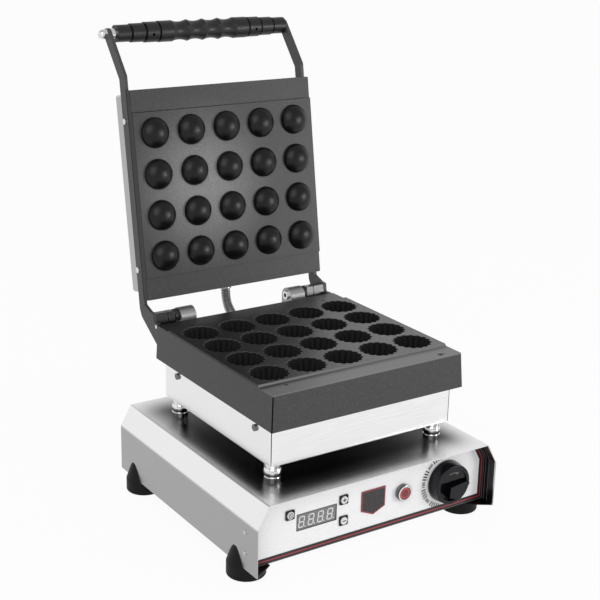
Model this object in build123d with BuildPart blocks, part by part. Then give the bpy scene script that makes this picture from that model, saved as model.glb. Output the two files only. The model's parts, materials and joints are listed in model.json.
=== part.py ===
from build123d import *
from math import atan2, cos, degrees, radians, sin, tan
import os

# A countertop maker of fluted tartlet shells. It stands on four feet with its lid open.
# Millimetres, +Z up, +X to the right and -Y to the front. The origin is on the table,
# under the middle of the open machine. Most pieces are placed by the mould's own planes:
# x and y count from the centre of the mould, and the lid's z from its closed face.

# Grid of cups and domes
cup_pitch = 48.0
cup_columns = 5
cup_rows = 4
cup_radius = 22.4
cup_floor_radius = 15.6
cup_depth = 17.0
cup_flutes = 16
flute_depth = 2.4
dome_radius = 18.0
dome_height = 11.5

# Mould plates. Their size follows from the grid of cups.
plate_side = 4.5
pad_margin = 0.5
lip_length = 28.5
plate_width = cup_columns * cup_pitch + 2 * plate_side
plate_length = cup_rows * cup_pitch + 2 * (pad_margin + lip_length)
plate_height = 42.2
plate_flare = 2.6
plate_wall = 4.0
plate_web = 4.5
plate_corner = 1.5
plate_edge = 2.0
lip_step = 2.2
lip_slope = 1.5
lip_web = 8.0
lip_hole_radius = 2.0
lip_hole_depth = 5.0
lip_hole_inset = 19.5
mark_length = 11.0
mark_width = 8.0
mark_depth = 1.2
mark_side = 21.0
mark_inset = 8.5
platen_gap = 0.4
lid_plate_side_inset = 1.5
lid_plate_end_inset = 2.6
lid_plate_thickness = 10.0

# Sheet metal
sheet = 1.2
bend = 3.0
fit = 0.2
screw_fit = 0.25

# Heights, from the table up
foot_height = 17.5
cover_height = 79.0
post_height = 20.5
casing_show = 44.3

# Base cover and panels
cover_width = 321.0
cover_front = 156.0
cover_back = 152.5
shoulder_drop = 24.5
shoulder_inset = 13.5
flange_width = 26.0
flange_mitre = 16.0
panel_setback = 19.0
panel_thickness = 2.0
rear_setback = 3.0
trim_width = 7.4
trim_thickness = 0.5
vent_length = 34.0
vent_width = 4.0
vent_pitch = 44.0
vent_rise = 10.0
vent_columns = 5
vent_rows = 4
rivet_back = 24.0
rivet_heights = (42.5, 18.5)
rivet_radius = 1.6
rivet_head = 2.6
rivet_head_height = 0.7

# Feet and their screws
foot_radius = 21.5
foot_inset = 14.0
foot_front = 112.5
foot_back = 120.0
foot_round = 2.0
foot_shoulder = 15.0
tongue_rise = 18.5
tongue_edge = 0.3
foot_screw_radius = 2.5
foot_screw_head = 5.0
foot_screw_head_height = 3.5
foot_recess = 6.0
foot_screw_grip = 6.0

# Spacer posts
post_side_inset = 12.0
post_end_inset = 15.0
post_radius = 9.75
post_belly = 10.1
post_waist = 8.9
post_base = 3.0
post_neck = 12.8
post_stud_radius = 3.0
post_stud_length = 5.0

# Lower casing and its screws
casing_side_gap = 0.5
casing_end_gap = 5.0
casing_screw_inset = 31.5
casing_screw_rise = 33.5
casing_screw_radius = 2.0
casing_screw_head = 3.8
casing_screw_head_height = 2.0
casing_screw_length = 8.0

# Lid casing
lid_casing_side_inset = 4.5
lid_casing_end_inset = 5.4
lid_casing_height = 39.0

# Heating elements and insulation
heater_radius = 4.0
heater_bend = 20.0
heater_inset = 30.0
heater_runs = 4
insulation_gap = 3.0
stud_clearance = 4.0
lid_insulation_thickness = 20.0

# Hinge
open_angle = 99.2
hinge_setback = 19.4
hinge_drop = 1.5
bolt_radius = 4.0
bolt_head_radius = 5.8
bolt_head_height = 2.5
bolt_fit = 0.05
bracket_inner = 67.7
bracket_width = 20.1
bracket_depth = 22.4
bracket_offset = 8.0
bracket_rise = 7.5
bracket_drop = 34.0
bracket_ledge = 5.0
hinge_spacer_width = 5.8
hinge_spacer_radius = 8.0
hinge_gap = 0.3
block_size = 14.0
block_edge = 1.0
block_groove = 0.6
block_groove_width = 1.2
block_groove_inset = 15.1
bolt_end_gap = 4.0

# Side arms. A hook's corners are counted from the hinge: back along the lid, and up from its face.
arm_gap = 0.8
arm_thickness = 4.0
arm_bottom = 11.0
arm_width = 13.5
arm_bend_reach = 12.0
arm_screw_inset = 30.0
arm_screw_radius = 2.0
arm_screw_head = 3.5
arm_screw_head_height = 2.0
hook_corners = (
    (-16.5, 11.0),
    (-14.6, 8.0),
    (-9.5, -1.9),
    (-7.5, -9.5),
    (2.3, -9.5),
    (3.3, -18.9),
    (28.6, -14.7),
    (28.0, -12.2),
    (-1.0, 20.5),
    (-10.4, 24.0),
)
stop_screw_back = 6.6
stop_screw_rise = -15.8
stop_screw_head = 2.2
stop_screw_radius = 1.2
stop_screw_head_height = 0.6

# Handle
handle_reach = 62.7
handle_rise = 47.5
rod_radius = 4.0
rod_fit = 0.1
rod_end = 7.0
nut_radius = 6.2
nut_height = 5.0
nut_dome = 5.6
washer_radius = 6.5
washer_length = 6.6
grip_ridge = 12.7
grip_waist = 10.6
grip_hollows = 4
grip_band = 18.2
grip_radii = (10.0, 11.0, 12.0, 12.5)
grip_groove = 2.4
grip_groove_depth = 2.0
grip_pin_radius = 1.8
grip_pin_depth = 6.0
grip_pins = (-67.5, 74.5)
grip_pin_turn = 17.5

# Conduit from the base to the lid
conduit_x = -5.0
conduit_radius = 6.0
conduit_bore = 4.5
conduit_rib = 0.9
conduit_rib_pitch = 2.0
conduit_drop = 20.0
conduit_rise = 23.5
lid_gland_length = 10.0
gland_radius = 9.5
gland_nut_height = 5.0
gland_neck_radius = 7.5
gland_thread_radius = 6.0
gland_thread_end = 2.0
base_gland_length = 10.7
conduit_cuff = 2.0
rib_rise = 0.2
rib_flat = 0.4

# Timer window, board and keys, placed on the panel by x and height
window_width = 51.5
window_height = 19.5
window_x = -74.25
window_z = 56.25
window_sink = 0.5
window_flange = 1.2
digit_depth = 7.0
board_width = 92.0
board_height = 44.0
board_x = -74.5
board_thickness = 1.6
key_size = 11.0
key_frame_height = 1.5
key_radius = 4.2
key_fit = 0.25
key_proud = 1.1
key_flange = 0.8
key_flange_height = 1.0
key_travel = 0.5
key_slack = 0.1
key_corner = 1.2
key_edge = 0.4
switch_size = 6.0
key_places = (
    ("set_key", -109.0, 68.5),
    ("plus_key", -40.0, 68.6),
    ("minus_key", -39.6, 43.7),
)

# Pilot lamp
lamp_x = 40.3
lamp_z = 57.4
lamp_bezel_radius = 9.7
lamp_bezel_height = 6.0
lamp_radius = 7.4
lamp_sink = 0.4
lamp_seat = 3.0
lamp_round = 0.8
lamp_dome = 1.2
lamp_barrel_radius = 6.0
lamp_barrel_length = 22.0

# Badge
badge_width = 32.0
badge_top = 71.0
badge_side = 23.5
badge_point = 30.5
badge_thickness = 1.0

# Thermostat and its knob
knob_x = 101.5
knob_z = 56.0
knob_gap = 1.0
knob_base_radius = 25.0
knob_radius = 23.4
knob_depth = 14.5
knob_round = 1.2
knob_rim = 4.2
knob_bowl = 7.0
plateau_drop = 1.6
plateau_chord = 5.0
pointer_corners = (
    (-6.2, -0.7),
    (14.9, 2.0),
    (21.5, -0.8),
    (5.5, -17.5),
    (-7.0, -13.5),
)
pointer_proud = 3.2
knob_seat = 6.0
shaft_radius = 3.0
shaft_fit = 0.05
shaft_depth = 14.0
thermostat_width = 46.0
thermostat_depth = 26.0
panel_hole_fit = 0.5

# Wiring inside the base
terminal_width = 50.0
terminal_length = 18.0
terminal_height = 20.0
terminal_holes = 5
terminal_hole_radius = 2.5
terminal_back = 46.0
inlet_x = 95.0
inlet_rise = 30.0
inlet_radius = 10.0
inlet_length = 14.0
inlet_flange = 13.0
inlet_flange_height = 3.0
inlet_bore = 4.2

# Levels worked out from the heights
cover_top = foot_height + cover_height
casing_bottom = cover_top + post_height
skirt_bottom = casing_bottom + casing_show
pad_level = skirt_bottom + plate_height
web_level = pad_level - cup_depth - plate_web
hinge_level = pad_level - hinge_drop
casing_screw_level = casing_bottom + casing_screw_rise
conduit_level = pad_level - conduit_drop

# Places worked out from the size of the plates
skirt_back = plate_length / 2
hinge_y = skirt_back + hinge_setback
arm_bend_y = -skirt_back - arm_bend_reach
handle_y = -skirt_back - handle_reach
bracket_front = skirt_back + bracket_offset
bracket_back = bracket_front + bracket_depth
casing_width = plate_width - 2 * (plate_wall + casing_side_gap)
casing_length = plate_length - 2 * (plate_wall + casing_end_gap)
casing_screw_y = casing_length / 2 - casing_screw_inset
casing_screw_places = [(way * casing_screw_y, casing_screw_level) for way in (-1, 1)]
post_x = casing_width / 2 - post_side_inset
post_y = casing_length / 2 - post_end_inset
heater_half_width = casing_width / 2 - heater_inset
heater_half_length = casing_length / 2 - heater_inset
lid_plate_width = plate_width - 2 * lid_plate_side_inset
lid_plate_length = plate_length - 2 * lid_plate_end_inset
lid_casing_width = lid_plate_width - 2 * lid_casing_side_inset
lid_casing_length = lid_plate_length - 2 * lid_casing_end_inset
arm_inner = lid_casing_width / 2 + arm_gap
arm_outer = arm_inner + arm_thickness
arm_mid = arm_bottom + arm_width / 2
arm_screw_y = lid_casing_length / 2 - arm_screw_inset
arm_screw_places = [(way * arm_screw_y, arm_mid) for way in (-1, 1)]

# The open lid turns about the hinge, and the middle of the machine's depth is y = 0
turn = radians(open_angle)


def opened(y, z):
    """Where a point of the closed lid lies once the lid is open: y from the mould, z from the table."""
    dy = y - hinge_y
    dz = z + platen_gap + hinge_drop
    return hinge_y + dy * cos(turn) + dz * sin(turn), hinge_level - dy * sin(turn) + dz * cos(turn)


handle_back = opened(handle_y, handle_rise)[0] + grip_ridge
mould_y = (cover_front - handle_back) / 2

mould = Plane(origin=(0, mould_y, 0))
lid_y, lid_z = opened(0, 0)
lid = Plane(origin=(0, mould_y + lid_y, lid_z), x_dir=(1, 0, 0), z_dir=(0, sin(turn), cos(turn)))


def upright(frame, y):
    """A plane across the machine that faces the front, y behind the frame's own middle."""
    return Plane(origin=frame.from_local_coords((0, y, 0)), x_dir=(1, 0, 0), z_dir=-frame.y_dir)


def sideways(frame, x):
    """A plane along the machine that faces right, x to the right of the frame's own middle."""
    return Plane(origin=frame.from_local_coords((x, 0, 0)), x_dir=frame.y_dir, z_dir=(1, 0, 0))


def save(piece, name):
    """Label a finished piece and write it."""
    piece.part.label = name
    export_step(piece.part, f"parts/{name}.step")


os.makedirs("parts", exist_ok=True)

SIDES = (("left", -1), ("right", 1))
half_cover = cover_width / 2
foot_x = half_cover - foot_inset
foot_places = [(side * foot_x, y) for _, side in SIDES for y in (-foot_front, foot_back)]
post_places = [(x * post_x, y * post_y) for x in (-1, 1) for y in (-1, 1)]
cover_length = cover_front + cover_back
panel_y = -cover_front + panel_setback
rear_y = cover_back - rear_setback
panel = upright(mould, panel_y)
rivet_y = -cover_front + rivet_back


def cover_outline(inset):
    """The cover's section, drawn in by inset on every side."""
    low = foot_height
    knee = cover_top - shoulder_drop
    shoulder = half_cover - shoulder_inset
    with BuildSketch() as outline:
        with BuildLine():
            Polyline(
                (-half_cover, low),
                (half_cover, low),
                (half_cover, knee),
                (shoulder, cover_top),
                (-shoulder, cover_top),
                (-half_cover, knee),
                close=True,
            )
        make_face()
        fillet(outline.vertices().filter_by(lambda v: v.Y > low + fit), bend)
        if inset:
            offset(amount=-inset, kind=Kind.INTERSECTION)
    return outline.sketch


outer_outline = cover_outline(0)
inner_outline = cover_outline(sheet)
panel_outline = cover_outline(sheet + fit)

# Base cover: one folded sheet, with a flange along the bottom of each side
with BuildPart() as base_cover:
    with BuildSketch(upright(mould, -cover_front)):
        add(outer_outline)
        add(inner_outline, mode=Mode.SUBTRACT)
        with Locations((0, foot_height)):
            Rectangle(cover_width - 2 * flange_width, 2 * sheet + fit, mode=Mode.SUBTRACT)
    extrude(amount=-cover_length)
    with BuildSketch(mould.offset(foot_height)) as flange_cuts:
        for _, side in SIDES:
            for end_y, way in ((-cover_front, 1), (cover_back, -1)):
                inner_x = side * (half_cover - flange_width - fit)
                wall_x = side * (half_cover - sheet)
                with BuildLine():
                    Polyline(
                        (wall_x, end_y),
                        (inner_x, end_y + way * flange_mitre),
                        (inner_x, end_y),
                        close=True,
                    )
                make_face()
        with Locations(*foot_places):
            Circle(foot_screw_radius + screw_fit)
    extrude(amount=sheet, mode=Mode.SUBTRACT)
    with BuildSketch(mould.offset(cover_top)):
        with Locations(*post_places):
            Circle(post_stud_radius + screw_fit)
    extrude(amount=-sheet, mode=Mode.SUBTRACT)
    with BuildSketch(sideways(mould, -half_cover)):
        with Locations(*[(rivet_y, foot_height + rise) for rise in rivet_heights]):
            Circle(rivet_radius)
    extrude(amount=cover_width, mode=Mode.SUBTRACT)
save(base_cover, "base_cover")

# Rivets that hold the panel's brackets to the cover's sides
with BuildPart() as cover_rivets:
    for _, side in SIDES:
        wall = sideways(mould, side * half_cover)
        with BuildSketch(wall):
            with Locations(*[(rivet_y, foot_height + rise) for rise in rivet_heights]):
                Circle(rivet_head)
        extrude(amount=side * rivet_head_height)
        with BuildSketch(wall):
            with Locations(*[(rivet_y, foot_height + rise) for rise in rivet_heights]):
                Circle(rivet_radius)
        extrude(amount=-side * (sheet + rivet_head_height))
save(cover_rivets, "cover_rivets")

# Bottom plate on the cover's flanges, with vents
bottom_level = foot_height + sheet
bottom_width = cover_width - 2 * (sheet + fit)
bottom_front = panel_y + panel_thickness + fit
bottom_back = rear_y - sheet - fit
with BuildPart() as bottom_plate:
    with BuildSketch(mould.offset(bottom_level)):
        with Locations((0, (bottom_front + bottom_back) / 2)):
            Rectangle(bottom_width, bottom_back - bottom_front)
            with GridLocations(vent_pitch, vent_rise, vent_columns, vent_rows):
                SlotOverall(vent_length, vent_width, mode=Mode.SUBTRACT)
        with Locations(*foot_places):
            Circle(foot_screw_radius + screw_fit, mode=Mode.SUBTRACT)
    extrude(amount=sheet)
save(bottom_plate, "bottom_plate")

# Front panel, with openings for the window, the keys, the lamp and the shaft
key_bore = key_radius + key_fit
with BuildPart() as front_panel:
    with BuildSketch(panel):
        add(panel_outline)
        with Locations((window_x, window_z)):
            Rectangle(window_width + 2 * fit, window_height + 2 * fit, mode=Mode.SUBTRACT)
        for _, key_x, key_z in key_places:
            with Locations((key_x, key_z)):
                Circle(key_bore, mode=Mode.SUBTRACT)
        with Locations((lamp_x, lamp_z)):
            Circle(lamp_barrel_radius + screw_fit, mode=Mode.SUBTRACT)
        with Locations((knob_x, knob_z)):
            Circle(shaft_radius + panel_hole_fit, mode=Mode.SUBTRACT)
    extrude(amount=-panel_thickness)
save(front_panel, "front_panel")

# Thin trim round the edge of the panel
with BuildPart() as panel_trim:
    with BuildSketch(panel):
        add(panel_outline)
        offset(amount=-trim_width, kind=Kind.INTERSECTION, mode=Mode.SUBTRACT)
    extrude(amount=trim_thickness)
save(panel_trim, "panel_trim")

# Rear panel, with vents and a hole for the inlet gland
inlet_z = foot_height + inlet_rise
with BuildPart() as rear_panel:
    with BuildSketch(upright(mould, rear_y)):
        add(panel_outline)
        with Locations((-inlet_x / 2, (foot_height + cover_top) / 2)):
            with GridLocations(vent_pitch, vent_rise, vent_columns - 1, vent_rows):
                SlotOverall(vent_length, vent_width, mode=Mode.SUBTRACT)
        with Locations((inlet_x, inlet_z)):
            Circle(inlet_radius + fit, mode=Mode.SUBTRACT)
    extrude(amount=sheet)
save(rear_panel, "rear_panel")

# Inlet gland for the power cord
with BuildPart() as inlet_gland:
    with BuildSketch(upright(mould, rear_y)):
        with Locations((inlet_x, inlet_z)):
            Circle(inlet_flange)
    extrude(amount=-inlet_flange_height)
    with BuildSketch(upright(mould, rear_y)):
        with Locations((inlet_x, inlet_z)):
            Circle(inlet_radius)
    extrude(amount=inlet_length)
    with BuildSketch(upright(mould, rear_y + inlet_flange_height)):
        with Locations((inlet_x, inlet_z)):
            Circle(inlet_bore)
    extrude(amount=inlet_length + inlet_flange_height, mode=Mode.SUBTRACT)
save(inlet_gland, "inlet_gland")

# Terminal block on the bottom plate
with BuildPart() as terminal_block:
    with BuildSketch(mould.offset(bottom_level + sheet)):
        with Locations((inlet_x, rear_y - terminal_back)):
            Rectangle(terminal_width, terminal_length)
    extrude(amount=terminal_height)
    with BuildSketch(upright(mould, rear_y - terminal_back + terminal_length / 2)):
        with Locations((inlet_x, bottom_level + sheet + terminal_height / 2)):
            with GridLocations(terminal_width / terminal_holes, 1, terminal_holes, 1):
                Circle(terminal_hole_radius)
    extrude(amount=terminal_length, mode=Mode.SUBTRACT)
save(terminal_block, "terminal_block")

# Rubber feet: a disc under the cover, and a tapered tongue that rises outside its wall
tongue_top = foot_height + tongue_rise
for side_name, side in SIDES:
    for end_name, foot_y in (("front", -foot_front), ("back", foot_back)):
        with BuildPart() as foot:
            with BuildSketch(upright(mould, foot_y)):
                with BuildLine():
                    Polyline(
                        (side * foot_x, 0),
                        (side * (foot_x + foot_radius), 0),
                        (side * (foot_x + foot_radius), foot_shoulder),
                        (side * (foot_x + foot_inset + tongue_edge), tongue_top),
                        (side * foot_x, tongue_top),
                        close=True,
                    )
                make_face()
            revolve(axis=Axis((side * foot_x, mould_y + foot_y, 0), (0, 0, 1)))
            fillet(foot.edges().group_by(Axis.Z)[0], foot_round)
            with BuildSketch(mould.offset(foot_height)):
                with Locations((side * (half_cover - foot_radius - foot_inset / 2), foot_y)):
                    Rectangle(2 * foot_radius + foot_inset, 2 * foot_radius + fit)
            extrude(amount=tongue_rise + fit, mode=Mode.SUBTRACT)
            with BuildSketch(mould):
                with Locations((side * foot_x, foot_y)):
                    Circle(foot_screw_radius + screw_fit)
            extrude(amount=foot_height, mode=Mode.SUBTRACT)
            with BuildSketch(mould):
                with Locations((side * foot_x, foot_y)):
                    Circle(foot_screw_head + 2 * screw_fit)
            extrude(amount=foot_recess, mode=Mode.SUBTRACT)
        save(foot, f"foot_{end_name}_{side_name}")

# Screws that hold the feet and the bottom plate to the cover's flanges
with BuildPart() as foot_screws:
    with BuildSketch(mould.offset(foot_recess)):
        with Locations(*foot_places):
            Circle(foot_screw_head)
    extrude(amount=-foot_screw_head_height)
    with BuildSketch(mould.offset(foot_recess)):
        with Locations(*foot_places):
            Circle(foot_screw_radius)
    extrude(amount=bottom_level + sheet + foot_screw_grip - foot_recess)
save(foot_screws, "foot_screws")

# Turned posts between the cover and the lower casing, with a belly, a neck and a stud at each end
post_names = ("front_left", "back_left", "front_right", "back_right")
for post_name, (x, y) in zip(post_names, post_places):
    with BuildPart() as post:
        with BuildSketch(upright(mould, y)):
            with BuildLine():
                stud_end = cover_top - sheet - post_stud_length
                stud_top = casing_bottom + sheet + post_stud_length
                belly_start = (x + post_waist, cover_top + post_base)
                neck = (x + post_waist, cover_top + post_neck)
                Polyline(
                    (x + post_radius, casing_bottom),
                    (x + post_stud_radius, casing_bottom),
                    (x + post_stud_radius, stud_top),
                    (x, stud_top),
                    (x, stud_end),
                    (x + post_stud_radius, stud_end),
                    (x + post_stud_radius, cover_top),
                    (x + post_radius, cover_top),
                    (x + post_radius, cover_top + post_base - fit),
                    belly_start,
                )
                ThreePointArc(
                    belly_start,
                    (x + post_belly, cover_top + (post_base + post_neck) / 2),
                    neck,
                )
                Polyline(
                    neck,
                    (x + post_radius, cover_top + post_neck + post_radius - post_waist),
                    (x + post_radius, casing_bottom),
                )
            make_face()
        revolve(axis=Axis(origin=(x, mould_y + y, 0), direction=(0, 0, 1)))
    save(post, f"spacer_post_{post_name}")

# Lower casing: a folded tray under the mould plate
with BuildPart() as lower_casing:
    with BuildSketch(mould.offset(casing_bottom)) as tray:
        Rectangle(casing_width, casing_length)
        fillet(tray.vertices(), bend)
    extrude(amount=web_level - casing_bottom)
    with BuildSketch(mould.offset(casing_bottom + sheet)) as tray_inside:
        Rectangle(casing_width - 2 * sheet, casing_length - 2 * sheet)
        fillet(tray_inside.vertices(), bend - sheet)
    extrude(amount=web_level - casing_bottom, mode=Mode.SUBTRACT)
    with BuildSketch(mould.offset(casing_bottom)):
        with Locations(*post_places):
            Circle(post_stud_radius + screw_fit)
    extrude(amount=sheet, mode=Mode.SUBTRACT)
    with BuildSketch(sideways(mould, -casing_width / 2)):
        with Locations(*casing_screw_places):
            Circle(casing_screw_radius)
    extrude(amount=casing_width, mode=Mode.SUBTRACT)
save(lower_casing, "lower_casing")

# Screws in the sides of the lower casing
with BuildPart() as casing_screws:
    for _, side in SIDES:
        wall = sideways(mould, side * casing_width / 2)
        for radius, length in (
            (casing_screw_head, casing_screw_head_height),
            (casing_screw_radius, -casing_screw_length),
        ):
            with BuildSketch(wall):
                with Locations(*casing_screw_places):
                    Circle(radius)
            extrude(amount=side * length)
save(casing_screws, "casing_screws")

# One fluted cup, as the space that a shell fills, with its mouth at z = 0
with BuildPart() as cup:
    for level, crest in ((0, cup_radius), (-cup_depth, cup_floor_radius)):
        ridge = crest - flute_depth * crest / cup_radius
        with BuildSketch(Plane.XY.offset(level)):
            with BuildLine():
                for flute in range(cup_flutes):
                    start = 360 / cup_flutes * flute
                    ThreePointArc(
                        Vector(ridge, 0).rotate(Axis.Z, start),
                        Vector(crest, 0).rotate(Axis.Z, start + 180 / cup_flutes),
                        Vector(ridge, 0).rotate(Axis.Z, start + 360 / cup_flutes),
                    )
            make_face()
    loft(ruled=True)

# Lower mould plate: a cast plate with a flared skirt, twenty cups and a lower lip at each end
lip_start = skirt_back - lip_length
lip_level = pad_level - lip_step
lip_hole_y = skirt_back - lip_hole_inset
with BuildPart() as lower_mould_plate:
    for level, flare in ((skirt_bottom, plate_flare), (pad_level, 0)):
        with BuildSketch(mould.offset(level)) as footprint:
            with Locations((0, -flare / 2)):
                Rectangle(plate_width + 2 * flare, plate_length + flare)
            fillet(footprint.vertices(), plate_corner)
    loft()
    with BuildSketch(sideways(mould, -plate_width / 2 - fit)):
        for way in (-1, 1):
            with BuildLine():
                Polyline(
                    (way * lip_start, pad_level),
                    (way * (lip_start + lip_slope), lip_level),
                    (way * (skirt_back + plate_flare), lip_level),
                    (way * (skirt_back + plate_flare), pad_level + fit),
                    (way * lip_start, pad_level + fit),
                    close=True,
                )
            make_face()
    extrude(amount=plate_width + 2 * fit, mode=Mode.SUBTRACT)
    flat_faces = lower_mould_plate.faces().filter_by(Axis.Z)
    lip_faces = flat_faces.filter_by(lambda face: abs(face.center().Z - lip_level) < fit)
    lip_edges = lip_faces.edges().filter_by(Axis.X).sort_by(Axis.Y)
    fillet([lip_edges[0], lip_edges[-1]], plate_edge)
    with BuildSketch(mould.offset(skirt_bottom)):
        Rectangle(plate_width - 2 * plate_wall, plate_length - 2 * plate_wall)
    extrude(amount=web_level - skirt_bottom, mode=Mode.SUBTRACT)
    with BuildSketch(mould.offset(web_level)):
        Rectangle(plate_width - 2 * plate_wall, plate_length - 2 * plate_wall)
        Rectangle(plate_width - 2 * plate_wall, 2 * lip_start, mode=Mode.SUBTRACT)
    extrude(amount=lip_level - lip_web - web_level, mode=Mode.SUBTRACT)
    with BuildSketch(upright(mould, skirt_back)):
        with Locations((conduit_x, conduit_level)):
            Circle(gland_thread_radius + fit)
    extrude(amount=plate_wall, mode=Mode.SUBTRACT)
    with BuildSketch(mould.offset(lip_level)):
        with Locations((-2 * cup_pitch, -lip_hole_y), (2 * cup_pitch, lip_hole_y)):
            Circle(lip_hole_radius)
    extrude(amount=-lip_hole_depth, mode=Mode.SUBTRACT)
    with BuildSketch(mould.offset(lip_level)):
        with Locations((plate_width / 2 - mark_side, mark_inset - skirt_back)):
            Triangle(
                a=mark_width,
                b=mark_length,
                c=mark_length,
                align=(Align.CENTER, Align.CENTER),
                rotation=-90,
            )
    extrude(amount=-mark_depth, mode=Mode.SUBTRACT)
    with Locations(mould.offset(pad_level)):
        with GridLocations(cup_pitch, cup_pitch, cup_columns, cup_rows):
            add(cup.part, mode=Mode.SUBTRACT)
save(lower_mould_plate, "lower_mould_plate")

# Upper mould plate, with a dome for each cup. It hangs under the lid when the lid is shut.
with BuildPart() as dome:
    with BuildSketch(Plane.XZ):
        with BuildLine():
            EllipticalCenterArc((0, 0), dome_radius, dome_height, start_angle=270, arc_size=90)
            Polyline((dome_radius, 0), (0, 0), (0, -dome_height))
        make_face()
    revolve(axis=Axis.Z)

with BuildPart(lid) as upper_mould_plate:
    with BuildSketch(lid) as lid_footprint:
        Rectangle(lid_plate_width, lid_plate_length)
        fillet(lid_footprint.vertices(), plate_corner)
    extrude(amount=lid_plate_thickness)
    with BuildSketch(lid):
        Rectangle(lid_plate_width, lid_plate_length)
        Rectangle(lid_plate_width, 2 * lip_start, mode=Mode.SUBTRACT)
    extrude(amount=lip_step, mode=Mode.SUBTRACT)
    with GridLocations(cup_pitch, cup_pitch, cup_columns, cup_rows):
        add(dome.part)
save(upper_mould_plate, "upper_mould_plate")

# Upper casing: a folded cover on the back of the upper plate
with BuildPart() as upper_casing:
    with BuildSketch(lid.offset(lid_plate_thickness)) as shell_outside:
        Rectangle(lid_casing_width, lid_casing_length)
        fillet(shell_outside.vertices(), bend)
    extrude(amount=lid_casing_height)
    fillet(upper_casing.faces().sort_by(Axis(lid.origin, lid.z_dir))[-1].edges(), bend - sheet)
    with BuildSketch(lid.offset(lid_plate_thickness)) as shell_inside:
        Rectangle(lid_casing_width - 2 * sheet, lid_casing_length - 2 * sheet)
        fillet(shell_inside.vertices(), bend - sheet)
    extrude(amount=lid_casing_height - sheet, mode=Mode.SUBTRACT)
    with BuildSketch(upright(lid, lid_casing_length / 2)):
        with Locations((conduit_x, conduit_rise)):
            Circle(gland_thread_radius + fit)
    extrude(amount=sheet, both=True, mode=Mode.SUBTRACT)
    with BuildSketch(sideways(lid, -lid_casing_width / 2)):
        with Locations(*arm_screw_places):
            Circle(arm_screw_radius)
    extrude(amount=lid_casing_width, mode=Mode.SUBTRACT)
save(upper_casing, "upper_casing")


def heater(plane):
    """A tubular element that runs to and fro across the plane."""
    step = 2 * heater_half_length / (heater_runs - 1)
    route = []
    for run in range(heater_runs):
        y = -heater_half_length + run * step
        ends = (-heater_half_width, heater_half_width)
        route += [(x, y) for x in (ends if run % 2 == 0 else ends[::-1])]
    with BuildPart() as element:
        with BuildLine(plane):
            path = FilletPolyline(*route, radius=heater_bend)
        with BuildSketch(Plane(origin=path @ 0, z_dir=path % 0)):
            Circle(heater_radius)
        sweep()
    return element


lower_heater = heater(mould.offset(web_level - heater_radius))
save(lower_heater, "lower_heater")
upper_heater = heater(lid.offset(lid_plate_thickness + heater_radius))
save(upper_heater, "upper_heater")

# Insulation boards behind the elements
with BuildPart() as lower_insulation:
    with BuildSketch(mould.offset(casing_bottom + sheet)):
        Rectangle(casing_width - 2 * insulation_gap, casing_length - 2 * insulation_gap)
        with Locations(*post_places):
            Circle(post_stud_radius + stud_clearance, mode=Mode.SUBTRACT)
    extrude(amount=web_level - 2 * heater_radius - casing_bottom - sheet)
    with BuildSketch(sideways(mould, -casing_width / 2)):
        with Locations(*casing_screw_places):
            Circle(casing_screw_radius + screw_fit)
    extrude(amount=casing_width, mode=Mode.SUBTRACT)
save(lower_insulation, "lower_insulation")

with BuildPart() as upper_insulation:
    with BuildSketch(lid.offset(lid_plate_thickness + 2 * heater_radius)):
        Rectangle(lid_casing_width - 4 * insulation_gap, lid_casing_length - 4 * insulation_gap)
    extrude(amount=lid_insulation_thickness)
save(upper_insulation, "upper_insulation")

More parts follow.
